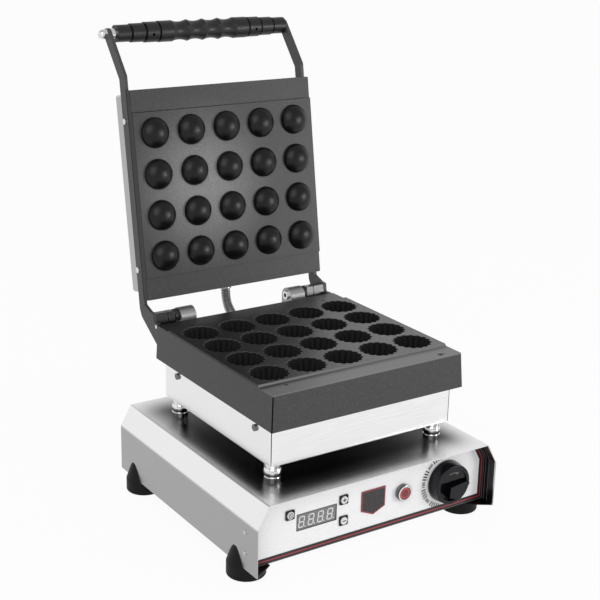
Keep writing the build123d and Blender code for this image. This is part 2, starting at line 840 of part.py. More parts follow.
# Hinge brackets on the back of the skirt, each with its bolt and spacer
stop_place = (hinge_y + stop_screw_back, stop_screw_rise)
bracket_outer = bracket_inner + bracket_width
spacer_outer = bracket_outer + hinge_spacer_width
block_inner = spacer_outer + hinge_gap
block_waist = block_size - 2 * block_groove
hinge_rise = -hinge_drop - platen_gap
for side_name, side in SIDES:
    with BuildPart() as bracket:
        with BuildSketch(sideways(mould, side * bracket_inner)) as bracket_side:
            with BuildLine():
                Polyline(
                    (skirt_back, pad_level - bracket_ledge),
                    (bracket_front, pad_level - bracket_ledge),
                    (bracket_front, pad_level + bracket_rise),
                    (bracket_back, pad_level + bracket_rise),
                    (bracket_back, pad_level - bracket_drop / 2),
                    (bracket_front, pad_level - bracket_drop),
                    (skirt_back, pad_level - bracket_drop),
                    close=True,
                )
            make_face()
            fillet(bracket_side.vertices().group_by(Axis.Y)[-1], bracket_depth / 2 - fit)
            with Locations((hinge_y, hinge_level)):
                Circle(bolt_radius + bolt_fit, mode=Mode.SUBTRACT)
        extrude(amount=side * bracket_width)
    save(bracket, f"hinge_bracket_{side_name}")

    with BuildPart() as bolt:
        with BuildSketch(sideways(mould, side * bracket_inner)):
            with Locations((hinge_y, hinge_level)):
                RegularPolygon(bolt_head_radius, 6)
        extrude(amount=-side * bolt_head_height)
        with BuildSketch(sideways(mould, side * bracket_inner)):
            with Locations((hinge_y, hinge_level)):
                Circle(bolt_radius)
        extrude(amount=side * (arm_inner - bolt_end_gap - bracket_inner))
    save(bolt, f"hinge_bolt_{side_name}")

    with BuildPart() as spacer:
        with BuildSketch(sideways(mould, side * bracket_outer)):
            with Locations((hinge_y, hinge_level)):
                Circle(hinge_spacer_radius)
                Circle(bolt_radius + bolt_fit, mode=Mode.SUBTRACT)
        extrude(amount=side * hinge_spacer_width)
    save(spacer, f"hinge_spacer_{side_name}")

    # Square block on the arm that turns on the bolt, with a groove across its faces
    with BuildPart() as block:
        with BuildSketch(sideways(lid, side * arm_inner)) as block_side:
            with Locations((hinge_y, hinge_rise)):
                Rectangle(block_size, block_size)
            fillet(block_side.vertices(), block_edge)
            with Locations((hinge_y, hinge_rise)):
                Circle(bolt_radius + bolt_fit, mode=Mode.SUBTRACT)
        extrude(amount=-side * (arm_inner - block_inner))
        with BuildSketch(sideways(lid, side * (arm_inner - block_groove_inset))):
            with Locations((hinge_y, hinge_rise)):
                Rectangle(block_size + fit, block_size + fit)
                Rectangle(block_waist, block_waist, mode=Mode.SUBTRACT)
        extrude(amount=-side * block_groove_width, mode=Mode.SUBTRACT)
    save(block, f"hinge_boss_{side_name}")

    # Side arm: a flat bar along the lid, raised to the handle in front and hooked behind the hinge
    with BuildPart() as arm:
        with BuildSketch(sideways(lid, side * arm_inner)) as arm_side:
            with BuildLine():
                Polyline(
                    (arm_bend_y, arm_bottom),
                    *[(hinge_y + back, rise) for back, rise in hook_corners],
                    (arm_bend_y, arm_bottom + arm_width),
                    close=True,
                )
            make_face()
            reach = Vector(handle_y - arm_bend_y, handle_rise - arm_mid)
            with Locations(((handle_y + arm_bend_y) / 2, (handle_rise + arm_mid) / 2)):
                SlotCenterToCenter(reach.length, arm_width, rotation=degrees(atan2(reach.Y, reach.X)))
            with Locations((handle_y, handle_rise)):
                Circle(rod_radius + rod_fit, mode=Mode.SUBTRACT)
            with Locations(*arm_screw_places):
                Circle(arm_screw_radius, mode=Mode.SUBTRACT)
            with Locations(stop_place):
                Circle(stop_screw_radius, mode=Mode.SUBTRACT)
        extrude(amount=side * arm_thickness)
    save(arm, f"side_arm_{side_name}")

# Screws through the arms into the lid's casing, and through the hooks
with BuildPart() as arm_screws:
    for _, side in SIDES:
        for radius, length in (
            (arm_screw_head, arm_screw_head_height),
            (arm_screw_radius, lid_casing_width / 2 - sheet - arm_outer),
        ):
            with BuildSketch(sideways(lid, side * arm_outer)):
                with Locations(*arm_screw_places):
                    Circle(radius)
            extrude(amount=side * length)
save(arm_screws, "arm_screws")

with BuildPart() as stop_screws:
    for _, side in SIDES:
        for radius, length in (
            (stop_screw_head, stop_screw_head_height),
            (stop_screw_radius, -arm_thickness),
        ):
            with BuildSketch(sideways(lid, side * arm_outer)):
                with Locations(stop_place):
                    Circle(radius)
            extrude(amount=side * length)
save(stop_screws, "stop_screws")

# Handle: a rod between the arms, a washer, a turned grip and a domed nut on the rod's left end
handle = Plane(
    origin=lid.from_local_coords((0, handle_y, handle_rise)),
    x_dir=(1, 0, 0),
    z_dir=-lid.y_dir,
)
handle_axis = Axis(handle.origin, handle.x_dir)
with BuildPart() as handle_rod:
    with BuildSketch(sideways(handle, -arm_outer - rod_end)):
        Circle(rod_radius)
    extrude(amount=2 * arm_outer + rod_end)
save(handle_rod, "handle_rod")

crown = -arm_outer - nut_height
with BuildPart() as cap_nut:
    with BuildSketch(sideways(handle, -arm_outer)):
        RegularPolygon(nut_radius, 6)
    extrude(amount=-nut_height)
    with BuildSketch(handle):
        with BuildLine():
            Polyline((crown, nut_dome), (crown, 0), (crown - nut_dome, 0))
            ThreePointArc(
                (crown - nut_dome, 0),
                (crown - nut_dome * cos(radians(45)), nut_dome * sin(radians(45))),
                (crown, nut_dome),
            )
        make_face()
    revolve(axis=handle_axis)
    with BuildSketch(sideways(handle, -arm_outer)):
        Circle(rod_radius + shaft_fit)
    extrude(amount=-rod_end, mode=Mode.SUBTRACT)
save(cap_nut, "cap_nut")

with BuildPart() as handle_washer:
    with BuildSketch(sideways(handle, -arm_inner)):
        Circle(washer_radius)
        Circle(rod_radius + rod_fit, mode=Mode.SUBTRACT)
    extrude(amount=washer_length)
save(handle_washer, "handle_washer")

# Turned grip: bands that step down to each end, and finger hollows between ridges in the middle
grip_start = -arm_inner + washer_length
grip_end = arm_inner
bands = len(grip_radii)
hollows_start = grip_start + bands * grip_band
hollows_end = grip_end - bands * grip_band
hollow = (hollows_end - hollows_start) / grip_hollows
grip_drill = Plane(
    origin=handle.origin,
    x_dir=handle.x_dir,
    z_dir=lid.z_dir.rotate(Axis.X, grip_pin_turn),
)
with BuildPart() as handle_grip:
    with BuildSketch(handle) as grip_profile:
        with BuildLine():
            for number in range(grip_hollows):
                start = hollows_start + number * hollow
                ThreePointArc(
                    (start, grip_ridge),
                    (start + hollow / 2, grip_waist),
                    (start + hollow, grip_ridge),
                )
            Polyline(
                (hollows_end, grip_ridge),
                (hollows_end, 0),
                (hollows_start, 0),
                (hollows_start, grip_ridge),
            )
        make_face()
        for number, radius in enumerate(grip_radii):
            for end, way in ((grip_start, 1), (grip_end, -1)):
                with Locations((end + way * (number + 0.5) * grip_band, radius / 2)):
                    Rectangle(grip_band, radius)
        for number in range(1, bands):
            for end, way in ((grip_start, 1), (grip_end, -1)):
                with Locations((end + way * number * grip_band, grip_radii[number])):
                    Rectangle(
                        grip_groove,
                        2 * (grip_groove_depth + grip_radii[number] - grip_radii[number - 1]),
                        mode=Mode.SUBTRACT,
                    )
    revolve(axis=handle_axis)
    with BuildSketch(sideways(handle, grip_start)):
        Circle(rod_radius + rod_fit)
    extrude(amount=grip_end - grip_start, mode=Mode.SUBTRACT)
    with BuildSketch(grip_drill.offset(-grip_ridge)):
        with Locations(*[(pin_x, 0) for pin_x in grip_pins]):
            Circle(grip_pin_radius)
    extrude(amount=grip_pin_depth, mode=Mode.SUBTRACT)
save(handle_grip, "handle_grip")

# Glands of the conduit: one on the lid's casing, one on the back of the skirt
for gland_name, wall, height, length, depth in (
    ("lid_gland", upright(lid, lid_casing_length / 2), conduit_rise, lid_gland_length, sheet),
    ("base_gland", upright(mould, skirt_back), conduit_level, base_gland_length, plate_wall),
):
    with BuildPart() as gland:
        with BuildSketch(wall):
            with Locations((conduit_x, height)):
                RegularPolygon(gland_radius, 6)
        extrude(amount=-gland_nut_height)
        with BuildSketch(wall):
            with Locations((conduit_x, height)):
                Circle(gland_neck_radius)
        extrude(amount=-length)
        with BuildSketch(wall):
            with Locations((conduit_x, height)):
                Circle(gland_thread_radius)
        extrude(amount=depth + gland_thread_end)
        with BuildSketch(wall.offset(-length)):
            with Locations((conduit_x, height)):
                Circle(conduit_bore)
        extrude(amount=length + depth + gland_thread_end, mode=Mode.SUBTRACT)
    save(gland, gland_name)

# Ribbed conduit: down from the lid's gland, then one wide bend to the base's gland
conduit_top = lid.from_local_coords((conduit_x, lid_casing_length / 2 + lid_gland_length, conduit_rise))
conduit_end = Vector(conduit_x, mould_y + skirt_back + base_gland_length, conduit_level)
conduit_corner = conduit_top + lid.y_dir * ((conduit_top.Z - conduit_level) / -lid.y_dir.Z)
shorter_leg = min((conduit_top - conduit_corner).length, (conduit_end - conduit_corner).length)
conduit_bend = (shorter_leg - 2 * conduit_radius) / tan((radians(180) - turn) / 2)
with BuildPart() as conduit:
    with BuildLine() as route:
        FilletPolyline(conduit_top, conduit_corner, conduit_end, radius=conduit_bend)
    conduit_path = route.wires()[0]
    conduit_length = conduit_path.length
    ribs = round((conduit_length - 2 * conduit_cuff) / conduit_rib_pitch)
    rib_pitch = (conduit_length - 2 * conduit_cuff) / ribs
    stations = [(0, conduit_radius - conduit_rib)]
    for rib in range(ribs):
        start = conduit_cuff + rib * rib_pitch
        stations += [
            (start, conduit_radius - conduit_rib),
            (start + rib_rise * rib_pitch, conduit_radius),
            (start + (rib_rise + rib_flat) * rib_pitch, conduit_radius),
            (start + (2 * rib_rise + rib_flat) * rib_pitch, conduit_radius - conduit_rib),
        ]
    stations += [(conduit_length, conduit_radius - conduit_rib)]
    for distance, radius in stations:
        share = distance / conduit_length
        with BuildSketch(Plane(conduit_path @ share, x_dir=(1, 0, 0), z_dir=conduit_path % share)):
            Circle(radius)
    loft(ruled=True)
    with BuildSketch(Plane(conduit_path @ 0, x_dir=(1, 0, 0), z_dir=conduit_path % 0)):
        Circle(conduit_bore)
    sweep(path=conduit_path, mode=Mode.SUBTRACT)
save(conduit, "conduit")
print(f"conduit: length {conduit_length:.1f}, bend radius {conduit_bend:.1f}, {ribs} ribs")

# Timer: its window, held by a flange behind the panel, and the module with a switch for each key
with BuildPart() as display_window:
    with BuildSketch(panel.offset(-window_sink)):
        with Locations((window_x, window_z)):
            Rectangle(window_width, window_height)
    extrude(amount=window_sink - panel_thickness)
    with BuildSketch(panel.offset(-panel_thickness)):
        with Locations((window_x, window_z)):
            Rectangle(window_width + 2 * window_flange, window_height + 2 * window_flange)
    extrude(amount=-window_flange)
save(display_window, "display_window")

board_level = -panel_thickness - window_flange - digit_depth
switch_top = -panel_thickness - key_slack - key_flange_height - key_travel - key_slack
with BuildPart() as timer_module:
    with BuildSketch(panel.offset(board_level)):
        with Locations((board_x, window_z)):
            Rectangle(board_width, board_height)
    extrude(amount=-board_thickness)
    with BuildSketch(panel.offset(board_level)):
        with Locations((window_x, window_z)):
            Rectangle(window_width, window_height)
    extrude(amount=digit_depth)
    with BuildSketch(panel.offset(board_level)):
        for _, key_x, key_z in key_places:
            with Locations((key_x, key_z)):
                Rectangle(switch_size, switch_size)
    extrude(amount=switch_top - board_level)
save(timer_module, "timer_module")

# Keys: a square frame on the panel, and a round cap that a flange keeps behind it
for key_name, key_x, key_z in key_places:
    with BuildPart() as frame:
        with BuildSketch(panel) as frame_face:
            with Locations((key_x, key_z)):
                RectangleRounded(key_size, key_size, key_corner)
                Circle(key_bore, mode=Mode.SUBTRACT)
        extrude(amount=key_frame_height)
    save(frame, f"{key_name}_frame")

    with BuildPart() as key:
        with BuildSketch(panel.offset(key_frame_height + key_proud)):
            with Locations((key_x, key_z)):
                Circle(key_radius)
        extrude(amount=-key_frame_height - key_proud - panel_thickness - key_slack)
        fillet(key.edges().group_by(Axis.Y)[0], key_edge)
        with BuildSketch(panel.offset(-panel_thickness - key_slack)):
            with Locations((key_x, key_z)):
                Circle(key_radius + key_flange)
        extrude(amount=-key_flange_height)
    save(key, key_name)

# Pilot lamp: a bezel with a barrel through the panel, and a lens sunk in it
with BuildPart() as lamp_bezel:
    with BuildSketch(panel):
        with Locations((lamp_x, lamp_z)):
            Circle(lamp_bezel_radius)
    extrude(amount=lamp_bezel_height)
    fillet(lamp_bezel.edges().group_by(Axis.Y)[0], lamp_round)
    with BuildSketch(panel):
        with Locations((lamp_x, lamp_z)):
            Circle(lamp_barrel_radius)
    extrude(amount=-lamp_barrel_length)
    with BuildSketch(panel.offset(lamp_bezel_height)):
        with Locations((lamp_x, lamp_z)):
            Circle(lamp_radius + shaft_fit)
    extrude(amount=-lamp_seat, mode=Mode.SUBTRACT)
save(lamp_bezel, "lamp_bezel")

with BuildPart() as lamp_lens:
    with BuildSketch(panel.offset(lamp_bezel_height - lamp_seat)):
        with Locations((lamp_x, lamp_z)):
            Circle(lamp_radius)
    extrude(amount=lamp_seat - lamp_sink)
    fillet(lamp_lens.edges().group_by(Axis.Y)[0], lamp_dome)
save(lamp_lens, "lamp_lens")

# Badge: a bare plate that ends in a point
with BuildPart() as badge:
    with BuildSketch(panel):
        with BuildLine():
            Polyline(
                (-badge_width / 2, badge_top),
                (badge_width / 2, badge_top),
                (badge_width / 2, badge_top - badge_side),
                (0, badge_top - badge_point),
                (-badge_width / 2, badge_top - badge_side),
                close=True,
            )
        make_face()
    extrude(amount=badge_thickness)
save(badge, "badge")

# Thermostat: a body behind the panel, a shaft and a tapered knob whose pointer stands in a bowl
with BuildPart() as thermostat_body:
    with BuildSketch(panel.offset(-panel_thickness)) as thermostat_face:
        with Locations((knob_x, knob_z)):
            Rectangle(thermostat_width, thermostat_width)
        fillet(thermostat_face.vertices(), bend)
    extrude(amount=-thermostat_depth)
    with BuildSketch(panel.offset(-panel_thickness)):
        with Locations((knob_x, knob_z)):
            Circle(shaft_radius + shaft_fit)
    extrude(amount=-shaft_depth - shaft_fit, mode=Mode.SUBTRACT)
save(thermostat_body, "thermostat_body")

with BuildPart() as thermostat_shaft:
    with BuildSketch(panel.offset(-panel_thickness - shaft_depth)):
        with Locations((knob_x, knob_z)):
            Circle(shaft_radius)
    extrude(amount=panel_thickness + shaft_depth + knob_gap + knob_seat)
save(thermostat_shaft, "thermostat_shaft")

knob_face = knob_gap + knob_depth
bowl_radius = knob_radius - knob_rim
with BuildPart() as thermostat_knob:
    for level, radius in ((knob_gap, knob_base_radius), (knob_face, knob_radius)):
        with BuildSketch(panel.offset(level)):
            with Locations((knob_x, knob_z)):
                Circle(radius)
    loft()
    fillet(thermostat_knob.edges().group_by(Axis.Y)[0], knob_round)
    with BuildSketch(panel.offset(knob_face)):
        with Locations((knob_x, knob_z)):
            Circle(bowl_radius)
    extrude(amount=-knob_bowl, mode=Mode.SUBTRACT)
    with BuildSketch(panel.offset(knob_face - knob_bowl)):
        with Locations((knob_x, knob_z)):
            Circle(bowl_radius + fit)
        with Locations((knob_x, knob_z + plateau_chord - bowl_radius)):
            Rectangle(2 * knob_radius, 2 * bowl_radius, mode=Mode.SUBTRACT)
    extrude(amount=knob_bowl - plateau_drop)
    with BuildSketch(panel.offset(knob_face - knob_bowl)):
        with BuildLine():
            Polyline(*[(knob_x + x, knob_z + z) for x, z in pointer_corners], close=True)
        make_face()
    extrude(amount=knob_bowl + pointer_proud)
    with BuildSketch(panel.offset(knob_gap)):
        with Locations((knob_x, knob_z)):
            Circle(shaft_radius + shaft_fit)
    extrude(amount=knob_seat, mode=Mode.SUBTRACT)
save(thermostat_knob, "thermostat_knob")
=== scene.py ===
import json
from math import cos, hypot, radians, sin, tan, tau

import bmesh
import bpy
from mathutils import Matrix, Vector


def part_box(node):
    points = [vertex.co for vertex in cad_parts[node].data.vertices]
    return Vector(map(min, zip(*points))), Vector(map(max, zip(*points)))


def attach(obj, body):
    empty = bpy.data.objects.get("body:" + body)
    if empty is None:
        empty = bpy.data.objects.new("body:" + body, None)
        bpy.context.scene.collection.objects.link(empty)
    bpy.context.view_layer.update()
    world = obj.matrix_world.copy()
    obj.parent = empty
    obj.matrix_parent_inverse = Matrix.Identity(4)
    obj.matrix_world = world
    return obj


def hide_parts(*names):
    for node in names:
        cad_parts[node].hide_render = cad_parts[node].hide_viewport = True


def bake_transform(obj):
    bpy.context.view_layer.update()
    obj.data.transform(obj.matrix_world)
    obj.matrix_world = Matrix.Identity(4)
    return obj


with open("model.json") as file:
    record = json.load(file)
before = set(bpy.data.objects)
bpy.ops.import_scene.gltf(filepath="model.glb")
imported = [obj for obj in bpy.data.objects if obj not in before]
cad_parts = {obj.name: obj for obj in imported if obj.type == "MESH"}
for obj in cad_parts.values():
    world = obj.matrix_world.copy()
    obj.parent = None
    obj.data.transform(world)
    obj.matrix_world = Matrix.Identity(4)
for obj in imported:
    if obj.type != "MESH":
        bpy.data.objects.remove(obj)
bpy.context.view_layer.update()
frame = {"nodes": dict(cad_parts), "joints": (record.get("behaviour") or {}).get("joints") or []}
nodes = frame["nodes"]
MM = 0.001
GRAIN_SCALE = 1100
SPECKLE_SCALE = 1500
WORLD_LEVEL = 0.6
HINGE_BEHIND_CUPS = 144.4 * MM
PLATE_GAP = 0.4 * MM

# Places taken from the frame
hinge = next(joint for joint in frame["joints"] if joint["name"] == "lid_hinge")
hinge_at = Vector(hinge["pos_m"])
lid_turn = -radians(hinge["range_deg"][1])
mould_y = hinge_at.y - HINGE_BEHIND_CUPS
pad_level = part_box("lower_mould_plate")[1].z
skirt_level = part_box("lower_mould_plate")[0].z
panel_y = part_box("front_panel")[0].y


def on_lid(x, y, z):
    """Where the open lid has a point, in metres: x and y from the cups' centre, z from the cooking face."""
    closed = Vector((x, mould_y + y, pad_level + PLATE_GAP + z))
    return hinge_at + Matrix.Rotation(lid_turn, 3, "X") @ (closed - hinge_at)


def place_camera():
    """The photograph's view, solved from the grid of cups and the cover's edges."""
    azimuth = radians(-34.1383)
    elevation = radians(18.2286)
    roll = radians(1.4296)
    focal_length, picture_width = 1319.39, 600
    spot = Vector((-799.9 * MM, -1165.2 * MM + mould_y, 713.1 * MM))
    back = Vector((sin(azimuth) * cos(elevation), -cos(azimuth) * cos(elevation), sin(elevation)))
    level = Vector((cos(azimuth), sin(azimuth), 0))
    upward = back.cross(level)
    right = level * cos(roll) + upward * sin(roll)
    up = upward * cos(roll) - level * sin(roll)
    data = bpy.data.cameras.new("camera")
    data.sensor_width = 36
    data.lens = focal_length / picture_width * data.sensor_width
    data.clip_end = 40
    camera = bpy.data.objects.new("camera", data)
    bpy.context.scene.collection.objects.link(camera)
    camera.matrix_world = Matrix.Translation(spot) @ Matrix((right, up, back)).transposed().to_4x4()
    bpy.context.scene.camera = camera


# Node helpers
def span(tree, source, low_in, high_in, low_out=0.0, high_out=1.0):
    """Carry a value from one span to another, smoothly."""
    node = tree.nodes.new("ShaderNodeMapRange")
    node.interpolation_type = "SMOOTHSTEP"
    node.inputs["From Min"].default_value = low_in
    node.inputs["From Max"].default_value = high_in
    node.inputs["To Min"].default_value = low_out
    node.inputs["To Max"].default_value = high_out
    tree.links.new(source, node.inputs["Value"])
    return node.outputs["Result"]


def combine(tree, operation, first, second=0.0):
    """A math node over two sockets or numbers."""
    node = tree.nodes.new("ShaderNodeMath")
    node.operation = operation
    for number, value in enumerate((first, second)):
        if isinstance(value, (int, float)):
            node.inputs[number].default_value = value
        else:
            tree.links.new(value, node.inputs[number])
    return node.outputs[0]


def product(tree, first, *others):
    """Sockets or numbers multiplied together."""
    for other in others:
        first = combine(tree, "MULTIPLY", first, other)
    return first


def mix_colors(tree, factor, low, high):
    """A colour between two colours or sockets."""
    node = tree.nodes.new("ShaderNodeMix")
    node.data_type = "RGBA"
    tree.links.new(factor, node.inputs[0])
    for number, value in ((6, low), (7, high)):
        if isinstance(value, tuple):
            node.inputs[number].default_value = (*value, 1)
        else:
            tree.links.new(value, node.inputs[number])
    return node.outputs[2]


def measure(tree, direction, start, end):
    """Goes from 0 to 1 as a point passes from start to end along a direction, in metres."""
    place = tree.nodes.new("ShaderNodeTexCoord")
    along = tree.nodes.new("ShaderNodeVectorMath")
    along.operation = "DOT_PRODUCT"
    along.inputs[1].default_value = direction
    tree.links.new(place.outputs["Object"], along.inputs[0])
    return span(tree, along.outputs["Value"], start, end)


def distance(tree, middle, start, end):
    """Goes from 0 to 1 as a point's distance from a place passes from start to end, in metres."""
    place = tree.nodes.new("ShaderNodeTexCoord")
    away = tree.nodes.new("ShaderNodeVectorMath")
    away.operation = "DISTANCE"
    away.inputs[1].default_value = middle
    tree.links.new(place.outputs["Object"], away.inputs[0])
    return span(tree, away.outputs["Value"], start, end)


def noise(tree, scale, detail=3.0, stretch=(1, 1, 1)):
    """A noise pattern in the object's own coordinates."""
    place = tree.nodes.new("ShaderNodeTexCoord")
    mapping = tree.nodes.new("ShaderNodeMapping")
    mapping.inputs["Scale"].default_value = stretch
    pattern = tree.nodes.new("ShaderNodeTexNoise")
    pattern.inputs["Scale"].default_value = scale
    pattern.inputs["Detail"].default_value = detail
    tree.links.new(place.outputs["Object"], mapping.inputs["Vector"])
    tree.links.new(mapping.outputs["Vector"], pattern.inputs["Vector"])
    return pattern.outputs["Fac"]


def speckle(tree):
    """The fine speckle of a coated casting, from 0 to 1."""
    return span(tree, noise(tree, SPECKLE_SCALE, 5), 0.46, 0.7)


def sheet_grain(tree, stretch, cloud_stretch):
    """The fine grain of brushed sheet, and the grain with cloudy streaks mixed in."""
    grain = noise(tree, GRAIN_SCALE, 4, stretch)
    cloud = noise(tree, 16, 3, cloud_stretch)
    return grain, combine(tree, "ADD", product(tree, grain, 0.7), product(tree, cloud, 0.3))


def new_material(name, color, metallic=0.0, roughness=0.5, **sockets):
    """A material whose constant values stand on the shader's own sockets."""
    material = bpy.data.materials.new(name)
    material.use_nodes = True
    tree = material.node_tree
    shader = tree.nodes["Principled BSDF"]
    shader.inputs["Base Color"].default_value = (*color, 1)
    shader.inputs["Metallic"].default_value = metallic
    shader.inputs["Roughness"].default_value = roughness
    for socket, value in sockets.items():
        shader.inputs[socket.replace("_", " ")].default_value = value
    return material, tree, shader


def roughen(tree, pattern, depth, strength):
    """Let a pattern raise the surface by a depth in metres."""
    bump = tree.nodes.new("ShaderNodeBump")
    bump.inputs["Distance"].default_value = depth
    bump.inputs["Strength"].default_value = strength
    tree.links.new(pattern, bump.inputs["Height"])
    tree.links.new(bump.outputs["Normal"], tree.nodes["Principled BSDF"].inputs["Normal"])


def brushed(name, tone, roughness, stretch):
    """Sheet metal with a fine grain along one way and faint cloudy streaks."""
    material, tree, shader = new_material(name, (tone, tone, tone * 0.995), 1.0, roughness)
    grain, mixed = sheet_grain(tree, stretch, tuple(0.3 + 0.7 * share for share in stretch))
    rough = span(tree, mixed, 0.35, 0.65, roughness - 0.05, roughness + 0.06)
    tree.links.new(rough, shader.inputs["Roughness"])
    low, high = tone * 0.94, min(tone * 1.03, 1.0)
    color = mix_colors(tree, span(tree, mixed, 0.3, 0.7), (low, low, low), (high, high, high * 0.997))
    tree.links.new(color, shader.inputs["Base Color"])
    roughen(tree, grain, 0.00002, 0.35)
    return material


def cast(name, color, sparkle, roughness):
    """Coated cast metal with a fine speckled skin. Its nodes come back too, so that more is painted on it."""
    material, tree, shader = new_material(name, color, 0.0, roughness, Specular_IOR_Level=0.28)
    skin = noise(tree, SPECKLE_SCALE, 5)
    tone = mix_colors(tree, span(tree, skin, 0.46, 0.7), color, sparkle)
    rough = span(tree, noise(tree, 260, 2), 0.3, 0.7, roughness - 0.04, roughness + 0.05)
    tree.links.new(rough, shader.inputs["Roughness"])
    roughen(tree, skin, 0.00018, 0.45)
    tree.links.new(tone, shader.inputs["Base Color"])
    return material, tree, shader, tone


def plain(name, color, roughness, scale=1200, depth=0.00003, metallic=0.0, **sockets):
    """Plastic, rubber, paint or plated metal with a faint moulded skin."""
    material, tree, shader = new_material(name, color, metallic, roughness, **sockets)
    skin = noise(tree, scale, 2)
    shade = tuple(share * 0.86 for share in color)
    tree.links.new(mix_colors(tree, span(tree, skin, 0.3, 0.7), shade, color), shader.inputs["Base Color"])
    rough = span(tree, skin, 0.3, 0.7, max(roughness - 0.04, 0.02), roughness + 0.05)
    tree.links.new(rough, shader.inputs["Roughness"])
    roughen(tree, skin, depth, 0.4)
    return material


def lid_plate_coat_sheen_and_shade():
    """The lid's plate: speckled grey with a painted sheen in the middle that fades to darker edges, dark
    domes, and painted shadow lines at its steps and by each side.
    """
    material, tree, shader, tone = cast("lid_plate_coat_sheen_and_shade", (0.17, 0.17, 0.171), (0.34, 0.34, 0.343), 0.36)
    # Painted sheen: the plate is lit up round one spot and falls to a painted shade tone towards its edges.
    shaded_tone = mix_colors(tree, speckle(tree), (0.035, 0.035, 0.035), (0.08, 0.08, 0.081))
    sheen_middle = on_lid(-38 * MM, -6 * MM, 0)
    tone = mix_colors(tree, distance(tree, sheen_middle, 5 * MM, 112 * MM), tone, shaded_tone)
    normal = on_lid(0, 0, 0) - on_lid(0, 0, 1)
    face = on_lid(0, 0, 0).dot(normal)
    domes = measure(tree, normal, face + 0.3 * MM, face + 0.9 * MM)
    tone = mix_colors(tree, domes, tone, (0.004, 0.004, 0.004))
    along = on_lid(0, 1, 0) - on_lid(0, 0, 0)
    middle = on_lid(0, 0, 0).dot(along)
    edge = 0.2 * MM
    # Painted shadow lines: one at the step at each end of the dome field, and one by each side where the plate
    # meets the arms.
    for way in (-1, 1):
        step_shadow_line = (along * way, middle * way, 96.2 * MM, 96.9 * MM)
        gap_shadow_line = (Vector((way, 0, 0)), 0.0, 122.2 * MM, 123.4 * MM)
        for direction, place, start, stop in (step_shadow_line, gap_shadow_line):
            enter = measure(tree, direction, place + start, place + start + edge)
            leave = measure(tree, -direction, -place - stop - edge, -place - stop)
            tone = mix_colors(tree, product(tree, enter, leave), tone, (0.002, 0.002, 0.002))
    tree.links.new(tone, shader.inputs["Base Color"])
    rough = combine(tree, "SUBTRACT", 0.37, product(tree, domes, 0.06))
    tree.links.new(rough, shader.inputs["Roughness"])
    return material


def mould_coat_light_and_shade():
    """The lower plate: its top has painted light to the front right and painted shade to the back left, the
    cups carry painted shade, and the mouths, steps and front lip carry painted highlights.
    """
    material, tree, shader, tone = cast("mould_coat_light_and_shade", (0.04, 0.04, 0.041), (0.1, 0.1, 0.102), 0.38)
    sparkle = speckle(tree)
    # Painted light and shade on the top: a lit tone to the front right passes into a painted shade tone to the
    # back left.
    light = mix_colors(tree, sparkle, (0.08, 0.08, 0.081), (0.26, 0.26, 0.262))
    shaded_tone = mix_colors(tree, sparkle, (0.006, 0.006, 0.006), (0.03, 0.03, 0.031))
    shade_toward_back_left = measure(tree, (-0.8, 0.6, 0), mould_y * 0.6 - 110 * MM, mould_y * 0.6 + 90 * MM)
    flat = measure(tree, (0, 0, 1), pad_level - 2.8 * MM, pad_level - 2.4 * MM)
    tone = mix_colors(tree, flat, tone, mix_colors(tree, shade_toward_back_left, light, shaded_tone))
    reach_x, reach_y, fade = 119.6 * MM, 95.9 * MM, 0.4 * MM
    inside = product(
        tree,
        measure(tree, (1, 0, 0), -reach_x, -reach_x + fade),
        measure(tree, (-1, 0, 0), -reach_x, -reach_x + fade),
        measure(tree, (0, 1, 0), mould_y - reach_y, mould_y - reach_y + fade),
        measure(tree, (0, -1, 0), -mould_y - reach_y, -mould_y - reach_y + fade),
    )
    # Painted highlight: a lighter ring at the mouth of each cup.
    rim_highlight = measure(tree, (0, 0, -1), -pad_level + 0.04 * MM, -pad_level + 0.1 * MM)
    rim_highlight = product(tree, rim_highlight, inside)
    # Painted shade: the cups' insides are painted nearly black below their mouths.
    cup_shade = measure(tree, (0, 0, -1), -pad_level + 0.25 * MM, -pad_level + 0.7 * MM)
    cup_shade = product(tree, cup_shade, inside)
    tone = mix_colors(tree, rim_highlight, tone, (0.11, 0.11, 0.11))
    tone = mix_colors(tree, cup_shade, tone, (0.002, 0.002, 0.002))
    tree.links.new(span(tree, cup_shade, 0.0, 1.0, 0.38, 0.75), shader.inputs["Roughness"])
    # Painted highlights along the steps at both ends of the cup field.
    top = measure(tree, (0, 0, 1), pad_level - 2.6 * MM, pad_level - 2.4 * MM)
    for way in (-1, 1):
        start = measure(tree, (0, way, 0), way * mould_y + 96.3 * MM, way * mould_y + 96.7 * MM)
        stop = measure(tree, (0, -way, 0), -way * mould_y - 98.4 * MM, -way * mould_y - 98.0 * MM)
        tone = mix_colors(tree, product(tree, start, stop, top), tone, (0.17, 0.17, 0.17))
    # Painted highlight along the front lip.
    front = measure(tree, (0, -1, 0), -mould_y + 100 * MM, -mould_y + 108 * MM)
    ledge = measure(tree, (0, 0, 1), pad_level - 3.4 * MM, pad_level - 2.9 * MM)
    tone = mix_colors(tree, product(tree, front, ledge, 0.8), tone, (0.19, 0.19, 0.192))
    tree.links.new(tone, shader.inputs["Base Color"])
    return material


